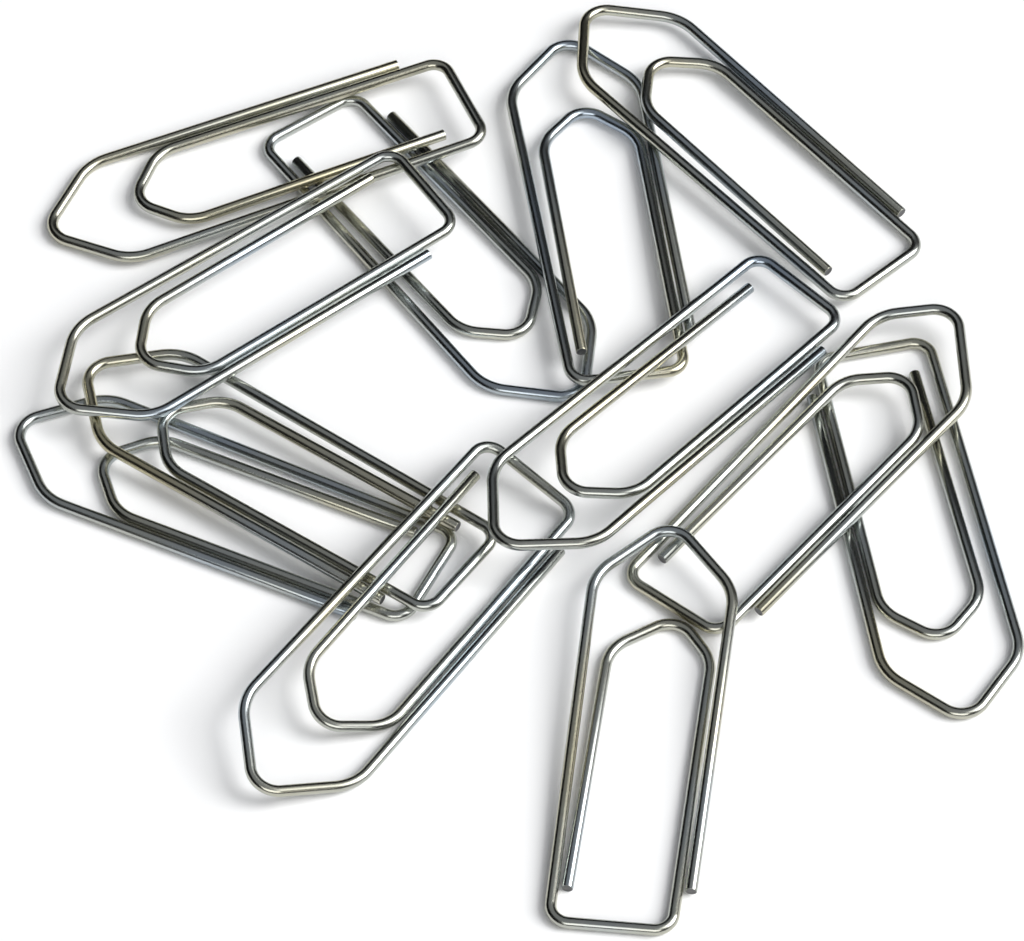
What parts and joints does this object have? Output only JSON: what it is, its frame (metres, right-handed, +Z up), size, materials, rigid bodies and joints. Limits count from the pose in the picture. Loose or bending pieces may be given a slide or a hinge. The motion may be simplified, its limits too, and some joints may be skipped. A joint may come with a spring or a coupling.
{
  "type": "heap of paper clips",
  "caption": "Loose heap of pointed steel wire paper clips lying over each other, with one hooked onto its neighbour; each clip lifts off or draws out by itself.",
  "frame": {"origin": "centre of the heap's outline on the desk it lies on", "axes": "+Z up from the desk, +X to the right and +Y away from the viewer, as the picture shows the heap"},
  "size_m": [0.0692, 0.0794, 0.0035],
  "materials": {
    "steel_wire": "bright drawn steel wire, nickel plated, with faint lengthwise drawing lines"
  },
  "bodies": {
    "bottom_clip": {"bottom_clip": "steel_wire"},
    "far_left_clip": {"far_left_clip": "steel_wire"},
    "right_clip": {"right_clip": "steel_wire"},
    "front_clip": {"front_clip": "steel_wire"},
    "right_centre_clip": {"right_centre_clip": "steel_wire"},
    "upper_left_clip": {"upper_left_clip": "steel_wire"},
    "lower_left_clip": {"lower_left_clip": "steel_wire"},
    "left_clip": {"left_clip": "steel_wire"},
    "top_clip": {"top_clip": "steel_wire"},
    "lower_middle_clip": {"lower_middle_clip": "steel_wire"},
    "centre_clip": {"centre_clip": "steel_wire"},
    "top_right_clip": {"top_right_clip": "steel_wire"}
  },
  "joints": [
    {"name": "far_left_draw", "type": "slide", "parent": "bottom_clip", "child": "far_left_clip", "axis": [-0.91, 0.4147, 0], "range_m": [0, 0.03]},
    {"name": "right_draw", "type": "slide", "parent": "bottom_clip", "child": "right_clip", "axis": [0.1736, -0.9848, 0], "range_m": [0, 0.02]},
    {"name": "top_draw", "type": "slide", "parent": "bottom_clip", "child": "top_clip", "axis": [0.1391, -0.9899, 0.0269], "range_m": [0, 0.008]},
    {"name": "upper_left_draw", "type": "slide", "parent": "bottom_clip", "child": "upper_left_clip", "axis": [0.9327, 0.358, 0.0434], "range_m": [0, 0.008]},
    {"name": "top_right_lift", "type": "slide", "parent": "bottom_clip", "child": "top_right_clip", "axis": [0, 0, 1], "range_m": [0, 0.02]},
    {"name": "lower_left_lift", "type": "slide", "parent": "bottom_clip", "child": "lower_left_clip", "axis": [0, 0, 1], "range_m": [0, 0.02]},
    {"name": "left_lift", "type": "slide", "parent": "lower_left_clip", "child": "left_clip", "axis": [0, 0, 1], "range_m": [0, 0.02]},
    {"name": "lower_middle_lift", "type": "slide", "parent": "lower_left_clip", "child": "lower_middle_clip", "axis": [0, 0, 1], "range_m": [0, 0.02]},
    {"name": "centre_lift", "type": "slide", "parent": "lower_middle_clip", "child": "centre_clip", "axis": [0, 0, 1], "range_m": [0, 0.02]},
    {"name": "right_centre_lift", "type": "slide", "parent": "bottom_clip", "child": "right_centre_clip", "axis": [0, 0, 1], "range_m": [0, 0.02]},
    {"name": "front_unhook", "type": "slide", "parent": "right_centre_clip", "child": "front_clip", "axis": [-0.1392, -0.9903, 0], "range_m": [0, 0.015]}
  ]
}
